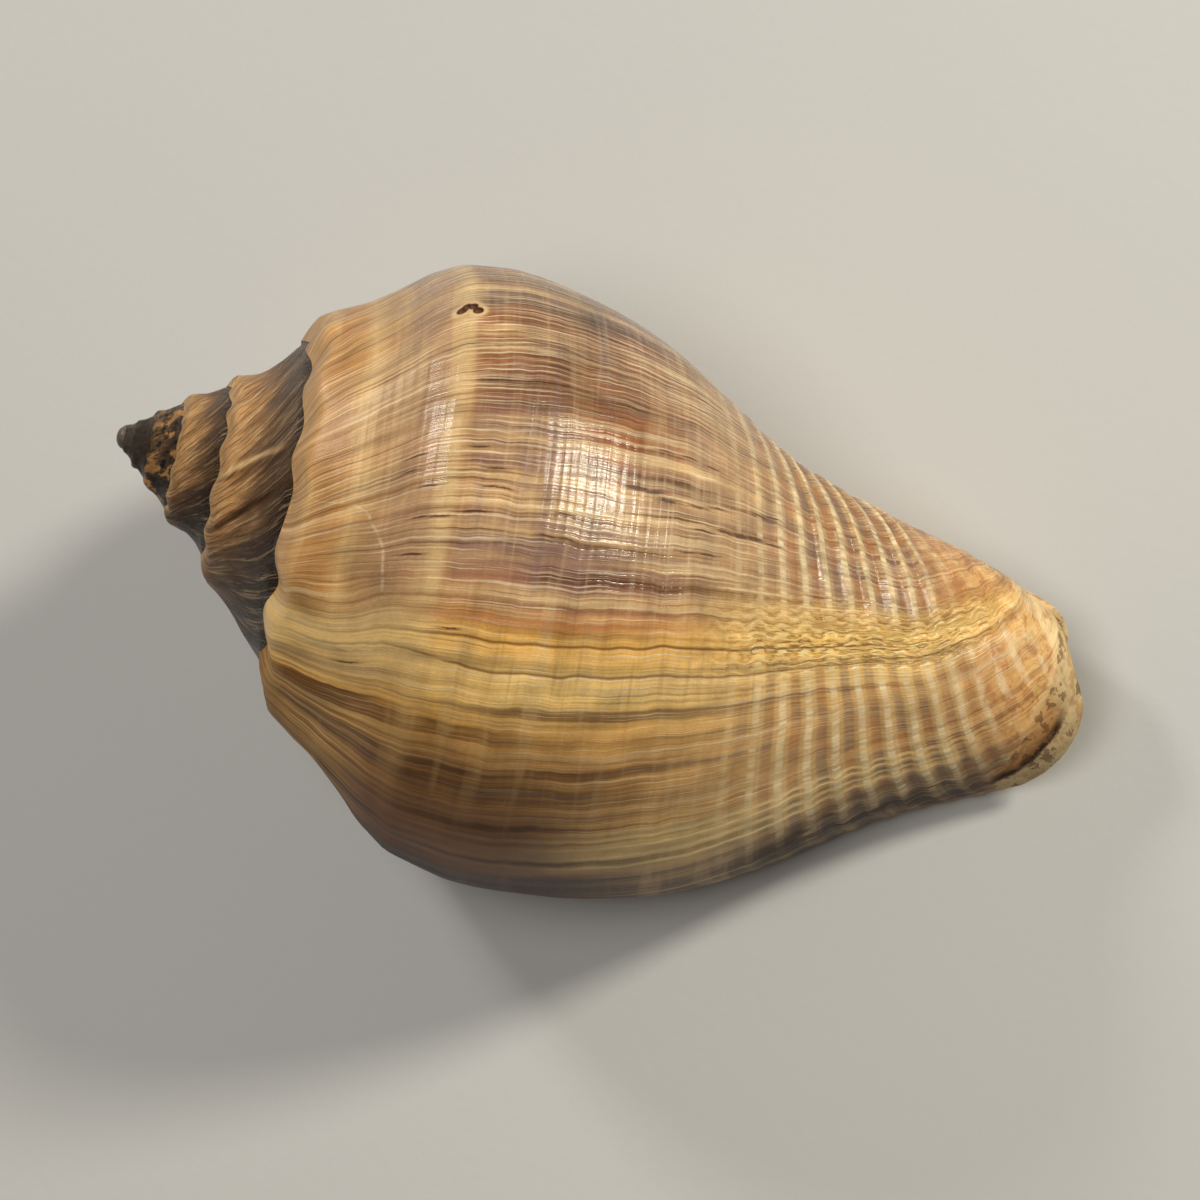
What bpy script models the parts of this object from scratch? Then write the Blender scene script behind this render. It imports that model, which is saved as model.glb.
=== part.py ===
"""Crown conch shell: one closed, faceted solid with an open mouth and siphonal canal.

The shell is a tube coiled round an axis. Every point of its outside is named by two numbers:
  turn     the angle at which that bit of wall grew, 0 on the back of the last whorl
  station  the distance along the axis, in mm, of its spiral line where it crosses the back
A spiral line moves away from the apex and from the axis by the same factor in each whorl.
"""
import math

import bmesh
import bpy
import numpy as np
from mathutils import Matrix

MM = 0.001

# ---- growth ----
WHORL_GROWTH = 1.704
GROWTH_RATE = math.log(WHORL_GROWTH) / (2 * math.pi)
SUTURE_STATION = 16.6
NEXT_SUTURE_STATION = SUTURE_STATION * WHORL_GROWTH
END_STATION = 95.7
LIP_TURN = math.radians(108)
PERIODS = 5

# ---- outline of the last whorl along its back: (station, radius), mm ----
BACK_OUTLINE = (
    (17.0, 16.9), (18.0, 18.6), (20.0, 20.1), (22.4, 21.6), (25.0, 23.7), (28.3, 26.6),
    (32.0, 28.4), (37.6, 29.1), (44.9, 28.3), (53.1, 26.1), (61.5, 22.0), (69.8, 17.5),
    (78.2, 14.7), (86.4, 12.8), (91.2, 11.9), (94.0, 11.1), (95.7, 9.9),
)

# ---- how far each station runs ahead of the middle of the same growth line: (station, degrees) ----
GROWTH_LINE = (
    (16.6, 29), (18.3, 23), (23.2, 14), (30.6, 6), (38.6, 3), (49.9, 0), (59.8, -2), (68.7, -5),
    (74.3, -9), (77.7, -13), (80.1, -19), (83.0, -29), (86.2, -43), (90.1, -65), (92.9, -87),
    (94.4, -104), (95.7, -122),
)

# ---- bend and late narrowing of the canal ----
BEND_START = 58.0
BEND_LENGTH = 38.6
BEND_OFFSET = 3.4
NARROW_START = 58.0
NARROW_LENGTH = 24.0
NARROW_TURN = math.radians(170)
NARROW_SHARE = 0.18

# ---- the spire's whorls are flatter than the last one, and its tip reaches further out ----
SPIRE_FLATTENING = 0.04
SPIRE_SLIMMING = 0.10
TIP_SLIMMING_LOSS = 0.8
SPIRE_TILT = 0.04
APEX_REACH = 1.2
APEX_REACH_LENGTH = 5.0
APEX_STATION = -0.6

# ---- far edge of the canal: a full bow a little before the lip, then a rounded corner ----
BOW_REACH = 1.0
BOW_TURN = LIP_TURN - math.radians(26)
BOW_WIDTH = math.radians(17)
CORNER_START = 92.4
CORNER_CUT = 1.8
CORNER_TURN = math.radians(45)

# ---- relief ----
CORD_FIRST = 66.4
CORD_PITCH = 2.42
CORD_COUNT = 12
CORD_HEIGHT = 0.28
CORD_FADE = 8.0
CORD_OLDEST = LIP_TURN - math.radians(250)
CORD_OLD_FADE = math.radians(60)
CORD_LIP_FADE = math.radians(25)
CORD_LIP_SHARE = 0.35
SCAR_TURN = LIP_TURN - math.radians(90)
SCAR_HEIGHT = 0.40
SCAR_FADE = math.radians(7)
SCAR_TOP_FADE = 6.0
SUTURE_WAVE = 0.30
SUTURE_WAVES_PER_TURN = 13
SUTURE_WAVE_FADE = 5.4

# ---- rolled edge of the canal and twisted pillar, continued inward from the end station ----
PILLAR_OUTLINE = ((96.2, 8.6), (95.9, 6.8), (93.5, 4.6), (89.0, 2.6), (84.0, 0.7))

# ---- living chamber ----
WALL_AT_LIP = 1.1
WALL_INSIDE = 1.7
WALL_TURN = math.radians(70)
THINNEST_CHAMBER = 0.35
CALLUS = 0.40
CALLUS_RISE = 1.4
FLOOR_TAIL = ((92.0, 11.4), (97.0, 9.6), (105.0, 7.0), (115.0, 4.0), (128.0, 0.5),
              (142.0, -3.0), (200.0, -5.0))
CHAMBER_TOP_STATION = 18.9
CHAMBER_DEPTH = math.radians(420)
CHAMBER_CLOSE = math.radians(60)
CHAMBER_END_SHARE = 0.15
CHAMBER_FRONT = math.radians(42)

# lowest station and how far the low side is pinched shut: (degrees from the lip, value)
CHAMBER_LOW = (
    (-420, 64.0), (-190, 68.0), (-120, 78.0), (-60, 86.0), (-20, 93.5), (0, 105.0), (42, 112.0),
)
CHAMBER_PINCH = ((-420, 0.85), (-170, 0.85), (-100, 0.5), (-40, 0.0), (42, 0.0))
PINCH_SHARE = 0.35

# ---- small pit by the shoulder ----
PIT_TURN = math.radians(-56)
PIT_STATION = 31.9
PIT_REACH = (1.35, 0.75, 0.75)

# ---- pose at rest and worn contact faces ----
REST_PITCH = math.radians(19.4)
REST_ROLL = math.radians(4.8)
WEAR_DEPTH = 0.20

# ---- mesh density ----
ROWS_PER_PERIOD = 40
SCAR_STEP = 0.004
LAST_STATION_GAP = 0.4
CHAMBER_ROWS = 38
CHAMBER_ROW_CROWDING = 1.4
CHAMBER_STATIONS = 18
CHAMBER_STATION_CROWDING = 1.5
SUTURE_BAND_STATIONS = (16.6, 17.1, 18.0, 19.4, 21.0, 22.8, 24.7, 26.5)
BODY_STATIONS = (30.3, 32.8, 35.6, 39.0, 43.0, 47.2, 51.4, 55.6, 59.6, 63.2)

SHELL_COLOUR = (0.43, 0.24, 0.12, 1.0)
SHELL_ROUGHNESS = 0.38
SHARP_EDGE = math.radians(40)


def smooth_curve(points):
    """Cubic through the points that never overshoots them, straight beyond its ends."""
    x, y = np.array(points, dtype=float).T
    step = np.diff(x)
    slope = np.diff(y) / step
    tangent = np.empty_like(y)
    tangent[0] = slope[0]
    tangent[-1] = slope[-1]
    before, after = slope[:-1], slope[1:]
    same_way = before * after > 0
    total = np.where(same_way, before + after, 1.0)
    tangent[1:-1] = np.where(same_way, 2 * before * after / total, 0.0)

    def value(at):
        at = np.asarray(at, dtype=float)
        inside = np.clip(at, x[0], x[-1])
        i = np.clip(np.searchsorted(x, inside, side="right") - 1, 0, len(step) - 1)
        f = (inside - x[i]) / step[i]
        bend = (y[i] * (1 + 2 * f) * (1 - f) ** 2 + y[i + 1] * f * f * (3 - 2 * f)
                + step[i] * f * (1 - f) * (tangent[i] * (1 - f) - tangent[i + 1] * f))
        beyond = np.where(at < x[0], (at - x[0]) * tangent[0], (at - x[-1]) * tangent[-1])
        return bend + beyond * ((at < x[0]) | (at > x[-1]))

    return value


def ease(x):
    """Smooth step from 0 to 1."""
    x = np.clip(x, 0.0, 1.0)
    return x * x * (3 - 2 * x)


back_radius = smooth_curve(BACK_OUTLINE)
suture_radius = float(back_radius(NEXT_SUTURE_STATION)) / WHORL_GROWTH
back_radius = smooth_curve(((SUTURE_STATION, suture_radius),) + BACK_OUTLINE)
growth_lead = smooth_curve(tuple((s, math.radians(d)) for s, d in GROWTH_LINE))
floor_tail = smooth_curve(FLOOR_TAIL)
PERIOD = 2 * math.pi - float(growth_lead(SUTURE_STATION) - growth_lead(NEXT_SUTURE_STATION))


def between_sutures(station):
    """0 at a whorl's upper suture, 1 at its lower one and beyond."""
    return np.clip((station - SUTURE_STATION) / (NEXT_SUTURE_STATION - SUTURE_STATION), 0.0, 1.0)


def whorls_up(angle, station):
    """How many whorls up the spire a point lies, 0 on the last whorl."""
    return np.maximum(-angle / (2 * math.pi) - between_sutures(station), 0.0)


def place(angle, station, radius):
    """Point in the shell's own axes, mm: X from apex to canal, +Z its back, -Y the lip's side."""
    scale = np.exp(GROWTH_RATE * angle)
    out = radius * scale
    along = station * scale - SPIRE_TILT * out * np.sin(angle) * ease(whorls_up(angle, station))
    along = along - APEX_REACH * np.exp(-along / APEX_REACH_LENGTH)
    bend = BEND_OFFSET * np.clip((along - BEND_START) / BEND_LENGTH, 0.0, None) ** 2
    return np.stack(np.broadcast_arrays(along, bend - out * np.sin(angle), out * np.cos(angle)), axis=-1)


def late_narrowing(turn, station):
    """Factor on the radius where the newest part of the canal is drawn in."""
    newest = ease((turn - (LIP_TURN - NARROW_TURN)) / NARROW_TURN)
    return 1 - NARROW_SHARE * ease((station - NARROW_START) / NARROW_LENGTH) * newest


def spire_shrink(angle, station):
    """Factor on the radius of the spire's whorls, which are flatter and slimmer than the last."""
    up = whorls_up(angle, station)
    flat = SPIRE_FLATTENING * np.sin(math.pi * between_sutures(station)) * ease(2 * up)
    slim = SPIRE_SLIMMING * ease(up) * (1 - TIP_SLIMMING_LOSS * ease(up - 1))
    return (1 - flat) * (1 - slim)


def relief(turn, station):
    """Height of the spiral cords and of the step where growth once halted."""
    cord = CORD_HEIGHT * np.cos(2 * math.pi * (station - CORD_FIRST) / CORD_PITCH)
    cord = cord * ease((station - CORD_FIRST + CORD_FADE / 2) / CORD_FADE)
    cord = cord * ease((turn - CORD_OLDEST) / CORD_OLD_FADE)
    cord = cord * (CORD_LIP_SHARE + (1 - CORD_LIP_SHARE) * ease((LIP_TURN - turn) / CORD_LIP_FADE))
    scar = np.where(turn <= SCAR_TURN, np.exp((turn - SCAR_TURN) / SCAR_FADE), 0.0)
    return cord + SCAR_HEIGHT * scar * ease((station - SUTURE_STATION) / SCAR_TOP_FADE)


def corner_cut(turn):
    """How much the end station falls short near the lip, mm. It is below zero in the bow."""
    f = np.clip(1 - (LIP_TURN - turn) / CORNER_TURN, 0.0, 1.0)
    bow = BOW_REACH * np.exp(-((turn - BOW_TURN) / BOW_WIDTH) ** 2)
    return CORNER_CUT * (1 - np.sqrt(1 - f ** 2)) - bow


def outside(turn, station):
    """Point of the shell's outer surface."""
    angle = turn + growth_lead(station)
    radius = back_radius(station) * late_narrowing(turn, station) * spire_shrink(angle, station)
    radius = radius + relief(turn, station)
    wave = SUTURE_WAVE * np.sin(SUTURE_WAVES_PER_TURN * angle)
    wave = wave * ease(1 - (station - SUTURE_STATION) / SUTURE_WAVE_FADE)
    cut = corner_cut(turn) * ease((station - CORNER_START) / (END_STATION - CORNER_START))
    return place(angle, station + wave - cut, radius)


def row_turns():
    """Growth angles of all rows. The same uneven steps repeat in every period."""
    steps = np.linspace(0.0, 1.0, ROWS_PER_PERIOD + 1)[1:]
    scar = 1.0 - (LIP_TURN - SCAR_TURN) / PERIOD
    fractions = np.sort(np.concatenate([steps, [scar, scar + SCAR_STEP]]))
    start = LIP_TURN - PERIODS * PERIOD
    turns = [start]
    for period in range(PERIODS):
        turns.extend(start + (period + fractions) * PERIOD)
    return np.array(turns), len(fractions)


def body_stations():
    """Stations from suture to canal end: two for each cord, one on its crest and one between."""
    cords = CORD_FIRST + CORD_PITCH / 2 * np.arange(2 * CORD_COUNT - 1)
    return np.array(SUTURE_BAND_STATIONS + (NEXT_SUTURE_STATION,) + BODY_STATIONS
                    + tuple(cords[cords < END_STATION - LAST_STATION_GAP]) + (END_STATION,))


def zip_chains(bm, first, second):
    """Fill the gap between two chains of vertices that share both their ends."""
    i = j = 0
    while i < len(first) - 1 or j < len(second) - 1:
        step_first = (first[i + 1].co - second[j].co).length if i < len(first) - 1 else math.inf
        step_second = (first[i].co - second[j + 1].co).length if j < len(second) - 1 else math.inf
        corners = [first[i], second[j]]
        if step_first <= step_second:
            i += 1
            corners.insert(1, first[i])
        else:
            j += 1
            corners.append(second[j])
        if len(set(corners)) == 3:
            bm.faces.new(corners)


def finish_mesh(bm, name):
    """Mesh object in metres with its faces pointing out."""
    bmesh.ops.recalc_face_normals(bm, faces=bm.faces)
    if bm.calc_volume(signed=True) < 0:
        bmesh.ops.reverse_faces(bm, faces=bm.faces)
    bmesh.ops.scale(bm, vec=(MM, MM, MM), verts=bm.verts)
    mesh = bpy.data.meshes.new(name)
    bm.to_mesh(mesh)
    bm.free()
    piece = bpy.data.objects.new(name, mesh)
    bpy.context.scene.collection.objects.link(piece)
    return piece


def coiled_body(name):
    """Outside of the whole shell, closed over its mouth and canal by a plain skin."""
    turns, period_rows = row_turns()
    stations = body_stations()
    band = len(SUTURE_BAND_STATIONS)
    last = len(turns) - 1
    body_start = last - period_rows
    bm = bmesh.new()
    grid = {}
    for row in range(last, -1, -1):
        full = row >= body_start
        for i in range(len(stations) if full else band + 1):
            if i == band and row <= body_start:
                grid[row, i] = grid[row + period_rows, 0]
            else:
                grid[row, i] = bm.verts.new(outside(turns[row], stations[i]))
        if full:
            angle = turns[row] + float(growth_lead(END_STATION))
            for k, (station, radius) in enumerate(PILLAR_OUTLINE):
                point = place(angle, station - corner_cut(turns[row]), radius)
                grid[row, len(stations) + k] = bm.verts.new(point)
    columns = len(stations) + len(PILLAR_OUTLINE)
    for row in range(last):
        for i in range(columns - 1 if row >= body_start else band):
            bm.faces.new((grid[row, i], grid[row + 1, i], grid[row + 1, i + 1], grid[row, i + 1]))
    lip = [grid[last, i] for i in range(columns)]
    inner = [grid[body_start, i] for i in range(band, columns)]
    axis = [grid[row, columns - 1] for row in range(body_start + 1, last + 1)]
    zip_chains(bm, lip, inner + axis)
    rim = [grid[row, 0] for row in range(period_rows)] + [grid[0, i] for i in range(band, 0, -1)]
    tip = bm.verts.new((APEX_STATION, 0.0, 0.0))
    for here, there in zip(rim, rim[1:] + rim[:1]):
        bm.faces.new((here, there, tip))
    bmesh.ops.triangulate(bm, faces=bm.faces)
    return finish_mesh(bm, name)


def chamber_section(turn):
    """Closed loop of points round the living chamber at one growth angle."""
    back = math.degrees(turn - LIP_TURN)
    low = float(smooth_curve(CHAMBER_LOW)(back))
    pinch = float(smooth_curve(CHAMBER_PINCH)(back))
    f = 1 - (1 - np.linspace(0.0, 1.0, CHAMBER_STATIONS)) ** CHAMBER_STATION_CROWDING
    station = CHAMBER_TOP_STATION + (low - CHAMBER_TOP_STATION) * f
    angle = turn + growth_lead(np.minimum(station, END_STATION))
    wall = WALL_AT_LIP + (WALL_INSIDE - WALL_AT_LIP) * ease((LIP_TURN - turn) / WALL_TURN)
    edge = np.minimum(station, END_STATION)
    ceiling = back_radius(edge) * late_narrowing(turn, edge) * spire_shrink(angle, edge) - wall
    below = station * WHORL_GROWTH
    floor = np.where(below < FLOOR_TAIL[0][0], back_radius(below), floor_tail(below)) / WHORL_GROWTH
    floor = floor * spire_shrink(angle - 2 * math.pi, below) + CALLUS
    floor = floor + CALLUS_RISE * ease((turn - LIP_TURN) / CHAMBER_FRONT)
    ceiling = np.maximum(ceiling, floor + THINNEST_CHAMBER)
    ceiling = floor + (ceiling - floor) * (1 - pinch * ease((f - 1 + PINCH_SHARE) / PINCH_SHARE))
    closing = ease((turn - (LIP_TURN - CHAMBER_DEPTH)) / CHAMBER_CLOSE)
    share = CHAMBER_END_SHARE + (1 - CHAMBER_END_SHARE) * closing
    middle = (ceiling + floor) / 2
    ceiling = middle + (ceiling - middle) * share
    floor = middle + (floor - middle) * share
    below_angle = angle - 2 * math.pi
    floor_points = place(below_angle, below, floor * WHORL_GROWTH)
    return np.concatenate([place(angle, station, ceiling), floor_points[::-1]])


def chamber(name):
    """The hollow to be taken out: a closed coiled tube that starts in front of the mouth."""
    reach = CHAMBER_DEPTH + CHAMBER_FRONT
    bm = bmesh.new()
    loops = []
    back = reach * np.linspace(1.0, 0.0, CHAMBER_ROWS) ** CHAMBER_ROW_CROWDING
    for turn in LIP_TURN + CHAMBER_FRONT - back:
        loops.append([bm.verts.new(point) for point in chamber_section(turn)])
    for here, there in zip(loops, loops[1:]):
        for i in range(len(here)):
            k = (i + 1) % len(here)
            bm.faces.new((here[i], here[k], there[k], there[i]))
    half = CHAMBER_STATIONS
    for loop in (loops[0], loops[-1]):
        for i in range(half - 1):
            bm.faces.new((loop[i], loop[i + 1], loop[2 * half - 2 - i], loop[2 * half - 1 - i]))
    bmesh.ops.triangulate(bm, faces=bm.faces)
    return finish_mesh(bm, name)


def subtract(piece, cutter):
    """Take the cutter out of the piece and delete the cutter. EXACT loses the coiled body here."""
    cut = piece.modifiers.new("cut", "BOOLEAN")
    cut.operation = "DIFFERENCE"
    cut.solver = "MANIFOLD"
    cut.object = cutter
    depsgraph = bpy.context.evaluated_depsgraph_get()
    mesh = bpy.data.meshes.new_from_object(piece.evaluated_get(depsgraph))
    piece.modifiers.clear()
    piece.data = mesh
    bpy.data.objects.remove(cutter)


def pit(name):
    """Small oval hole to be sunk into the surface by the shoulder."""
    bm = bmesh.new()
    bmesh.ops.create_icosphere(bm, subdivisions=1, radius=1.0)
    centre = outside(PIT_TURN, PIT_STATION)
    for vert in bm.verts:
        vert.co = [c + reach * x for c, reach, x in zip(centre, PIT_REACH, vert.co)]
    return finish_mesh(bm, name)


def rest_rotation():
    """Turn from the shell's own axes to the way it lies, mouth down and canal low."""
    return Matrix.Rotation(REST_ROLL, 4, "X") @ Matrix.Rotation(REST_PITCH, 4, "Y")


def lay_down(shell):
    """Rest the shell on z = 0 with the middle of its box over the origin, and wear its contacts flat."""
    shell.data.transform(rest_rotation())
    low, high = bounds(shell)
    shell.data.transform(Matrix.Translation((0.0, 0.0, -low[2] - WEAR_DEPTH * MM)))
    size = 2 * END_STATION * MM
    bpy.ops.mesh.primitive_cube_add(size=size, location=(0.0, 0.0, -size / 2))
    subtract(shell, bpy.context.active_object)
    low, high = bounds(shell)
    middle = (low + high) / 2
    shell.data.transform(Matrix.Translation((-middle[0], -middle[1], -low[2])))


def bounds(piece):
    """Lowest and highest corners of a piece's mesh."""
    points = np.array([vert.co for vert in piece.data.vertices])
    return points.min(axis=0), points.max(axis=0)


def shell_material():
    material = bpy.data.materials.new("shell")
    material.use_nodes = True
    shader = material.node_tree.nodes["Principled BSDF"]
    shader.inputs["Base Color"].default_value = SHELL_COLOUR
    shader.inputs["Roughness"].default_value = SHELL_ROUGHNESS
    return material


def main():
    for old in list(bpy.data.objects):
        bpy.data.objects.remove(old)
    shell = coiled_body("shell")
    subtract(shell, chamber("chamber"))
    subtract(shell, pit("pit"))
    lay_down(shell)
    shell.data.materials.append(shell_material())
    shell.data.shade_smooth()
    shell.data.set_sharp_from_angle(angle=SHARP_EDGE)


main()
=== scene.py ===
import math
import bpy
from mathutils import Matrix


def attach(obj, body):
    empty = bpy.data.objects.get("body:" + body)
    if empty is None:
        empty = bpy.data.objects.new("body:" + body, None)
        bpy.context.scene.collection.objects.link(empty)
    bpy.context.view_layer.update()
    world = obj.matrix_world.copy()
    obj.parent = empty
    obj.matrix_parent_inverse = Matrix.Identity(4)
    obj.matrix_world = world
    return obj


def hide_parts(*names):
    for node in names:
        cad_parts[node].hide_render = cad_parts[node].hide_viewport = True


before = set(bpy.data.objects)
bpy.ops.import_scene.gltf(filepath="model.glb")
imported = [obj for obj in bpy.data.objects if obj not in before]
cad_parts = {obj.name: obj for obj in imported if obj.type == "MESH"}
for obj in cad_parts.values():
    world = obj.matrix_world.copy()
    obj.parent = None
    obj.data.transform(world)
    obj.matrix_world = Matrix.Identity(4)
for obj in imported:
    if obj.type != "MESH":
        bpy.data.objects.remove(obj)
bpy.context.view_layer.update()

from types import SimpleNamespace

import bmesh
import bpy
import numpy as np
from mathutils import Matrix, Vector

MM = 0.001

# ---- the shell's form: the same named values as the CAD part ----
WHORL_GROWTH = 1.704
GROWTH_RATE = math.log(WHORL_GROWTH) / (2 * math.pi)
SUTURE_STATION = 16.6
NEXT_SUTURE_STATION = SUTURE_STATION * WHORL_GROWTH
END_STATION = 95.7
LIP_DEGREES = 108
LIP_TURN = math.radians(LIP_DEGREES)
PERIODS = 6
BACK_OUTLINE = (
    (17, 16.9), (18, 18.6), (20, 20.1), (22.4, 21.6), (25, 23.7), (28.3, 26.6),
    (32, 28.4), (37.6, 29.1), (44.9, 28.3), (53.1, 26.1), (61.5, 22), (69.8, 17.5),
    (78.2, 14.7), (86.4, 12.8), (91.2, 11.9), (94, 11.1), (95.7, 9.9),
)
GROWTH_LINE = (
    (16.6, 29), (18.3, 23), (23.2, 14), (30.6, 6), (38.6, 3), (49.9, 0), (59.8, -2), (68.7, -5),
    (74.3, -9), (77.7, -13), (80.1, -19), (83, -29), (86.2, -43), (90.1, -65), (92.9, -87),
    (94.4, -104), (95.7, -122),
)
BEND_START, BEND_LENGTH, BEND_OFFSET = 58, 38.6, 3.4
NARROW_START, NARROW_LENGTH, NARROW_TURN, NARROW_SHARE = 58, 24, math.radians(170), 0.18
SPIRE_FLATTENING, SPIRE_SLIMMING, TIP_SLIMMING_LOSS, SPIRE_TILT = 0.04, 0.1, 0.8, 0.04
APEX_REACH, APEX_REACH_LENGTH, APEX_STATION = 1.2, 5, -0.6
BOW_REACH, BOW_TURN, BOW_WIDTH = 1, LIP_TURN - math.radians(26), math.radians(17)
CORNER_START, CORNER_CUT, CORNER_TURN = 92.4, 1.8, math.radians(45)
CORD_FIRST, CORD_PITCH, CORD_HEIGHT, CORD_FADE = 66.4, 2.42, 0.28, 8
CORD_OLDEST, CORD_OLD_FADE = LIP_TURN - math.radians(250), math.radians(60)
CORD_LIP_FADE, CORD_LIP_SHARE = math.radians(25), 0.35
SCAR_TURN, SCAR_HEIGHT, SCAR_FADE = LIP_TURN - math.radians(90), 0.4, math.radians(7)
SCAR_TOP_FADE = 6
SUTURE_WAVE, SUTURE_WAVES_PER_TURN, SUTURE_WAVE_FADE = 0.3, 13, 5.4
PILLAR_OUTLINE = ((96.2, 8.6), (95.9, 6.8), (93.5, 4.6), (89, 2.6), (84, 0.7))
WALL_AT_LIP, WALL_INSIDE, WALL_TURN = 1.1, 1.7, math.radians(70)
THINNEST_CHAMBER, CALLUS, CALLUS_RISE = 0.35, 0.4, 1.4
FLOOR_TAIL = (
    (92, 11.4), (97, 9.6), (105, 7), (115, 4), (128, 0.5), (142, -3), (200, -5),
)
CHAMBER_TOP_STATION = 18.9
CHAMBER_DEPTH, CHAMBER_CLOSE, CHAMBER_FRONT = math.radians(420), math.radians(60), math.radians(42)
CHAMBER_END_SHARE = 0.15
CHAMBER_LOW = (
    (-420, 64), (-190, 68), (-120, 78), (-60, 86), (-20, 93.5), (0, 105), (42, 112),
)
CHAMBER_PINCH = ((-420, 0.85), (-170, 0.85), (-100, 0.5), (-40, 0), (42, 0))
PINCH_SHARE = 0.35
# the worm hole, an arch of four small hollows: degrees, station, reach
PIT_PARTS = ((-56.4, 29.8, 0.46), (-57.3, 30.25, 0.4), (-57, 30.8, 0.42), (-55.3, 31.3, 0.52))
REST_PITCH, REST_ROLL = math.radians(19.4), math.radians(4.8)
# where the apex of the coil lies once the shell is at rest, mm
APEX_AT_REST = (-46.4435, 2.7727, 32.0315)

# ---- relief, in mm, degrees and stations ----
# how far the real growth lines run ahead of equal turns: station, degrees
LINE_BEND = (
    (16, 0), (36, 0), (44, 0.3), (52, 1.2), (60, 2.6), (68, 3.4), (74, 2.6),
    (79, -1), (83, -6), (86.5, -12.5), (90, -20), (96, -36),
)
# how far they lag on the shoulder, and the degrees over which that sets in
LAG, LAG_STATION, LAG_WIDTH, LAG_RISE = 3.5, 22.3, 3.4, 12
CORD_CREST, CORD_SHARPNESS, CORD_GROOVE = 2.1, 1.7, 0.9
# where the cords weaken, and how much
CANAL_END, SCAR_ZONE, AFTER_SCAR = (79, 7), (10, 13), (12, 12)
END_LOSS, SCAR_LOSS, AFTER_SCAR_LOSS = 0.85, 0.6, 0.35
SCAR_STEP_WIDTH = 0.012
# random relief: height, size along and across a growth line, seed
WOBBLE = (1.2, 9, 30, 3)
WRINKLES = ((0.045, 26, 4.3, 5), (0.035, 17, 2.6, 7), (0.05, 40, 11, 9))
FOLDS, FLAKES = (0.42, 16, 6.5, 13), (0.13, 3.1, 2.7, 11)
# ledges along growth lines: degrees, width
LEDGE_HEIGHT, LEDGES = 0.07, ((12.3, 1.1), (22, 1.2))
LATE_LEDGE_HEIGHT, LATE_LEDGES = 0.08, ((60, 1.3), (66, 1.5), (85, 1.5))
# raised spiral lines: height, station, width
SHOULDER_LINES, WELT = ((0.1, 30.5, 0.9), (0.05, 36.2, 0.9)), (0.3, 17.6, 0.9)
# on the spire: height, features from suture to suture, degrees, seed
SPIRE_SLANT = 40
SPIRE_FOLDS, SPIRE_CREASES, WORN_TIP = (0.3, 1.5, 11, 21), (0.12, 3, 4.6, 23), (0.9, 4, 24, 25)
# slanting ridges: height, degrees per mm, degrees, width
SPIRE_RIDGES = ((0.45, 0.55, -368.5, 2.2), (0.55, 2.2, -312.5, 2.6), (-0.45, 2.2, -307.5, 2.2))
KNOB_HEIGHT, KNOB_DEGREES, KNOB_STATION = 2.4, (-1036, 5), (19.4, 1.6)
SEAM_FADE = 1.2
SUTURE_RIPPLE = (0.22, 9, 1, 31)

# ---- mesh density ----
ROWS_PER_PERIOD = 300
SPIRE_STATIONS, SPIRE_STATION_CROWDING = 22, 1.15
BODY_STATION_COUNT = 96
CHAMBER_ROWS, CHAMBER_ROW_CROWDING = 110, 1.4
CHAMBER_STATIONS, CHAMBER_STATION_CROWDING = 40, 1.5
TIP_RINGS = 5
NOISE_TABLE = 128

# ---- growth values that mark other surfaces than the outside ----
SKIN_DEGREES, SKIN_STATION, PILLAR_MARK_STEP = 112, 100, 2
CHAMBER_FLOOR_MARK = 100
PIT_MARK, GROUND_MARK = 150, 180
GROUND_SIZE = 0.2


# ---- curves and noise
def smooth_curve(points):
    """Cubic through the points without overshoot, straight beyond them."""
    x, y = np.array(points, dtype=float).T
    step = np.diff(x)
    slope = np.diff(y) / step
    before, after = slope[:-1], slope[1:]
    same_way = before * after > 0
    total = np.where(same_way, before + after, 1)
    tangent = np.concatenate([slope[:1], np.where(same_way, 2 * before * after / total, 0), slope[-1:]])

    def value(at):
        at = np.asarray(at, dtype=float)
        inside = np.clip(at, x[0], x[-1])
        i = np.clip(np.searchsorted(x, inside, side="right") - 1, 0, len(step) - 1)
        f = (inside - x[i]) / step[i]
        bend = (y[i] * (1 + 2 * f) * (1 - f) ** 2 + y[i + 1] * f * f * (3 - 2 * f)
                + step[i] * f * (1 - f) * (tangent[i] * (1 - f) - tangent[i + 1] * f))
        beyond = np.where(at < x[0], (at - x[0]) * tangent[0], (at - x[-1]) * tangent[-1])
        return bend + beyond * ((at < x[0]) | (at > x[-1]))

    return value


def ease(x):
    x = np.clip(x, 0, 1)
    return x * x * (3 - 2 * x)


def rise(x, start, length):
    """0 before the start, 1 a length after it, smooth between."""
    return ease((x - start) / length)


def bell(x, middle, width):
    return np.exp(-((x - middle) / width) ** 2)


def noise(x, y, seed):
    """Smooth random field between -1 and 1, one feature per unit."""
    table = np.random.default_rng(seed).uniform(-1, 1, (NOISE_TABLE, NOISE_TABLE))
    x, y = np.broadcast_arrays(np.asarray(x, dtype=float), np.asarray(y, dtype=float))
    i, k = np.floor(x).astype(int), np.floor(y).astype(int)
    u, v = ease(x - i), ease(y - k)
    i, k, next_i, next_k = (whole % NOISE_TABLE for whole in (i, k, i + 1, k + 1))
    low = table[i, k] * (1 - u) + table[next_i, k] * u
    high = table[i, next_k] * (1 - u) + table[next_i, next_k] * u
    return low * (1 - v) + high * v


def crumple(x, y, height, x_size, y_size, seed):
    return height * noise(x / x_size, y / y_size, seed)


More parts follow.
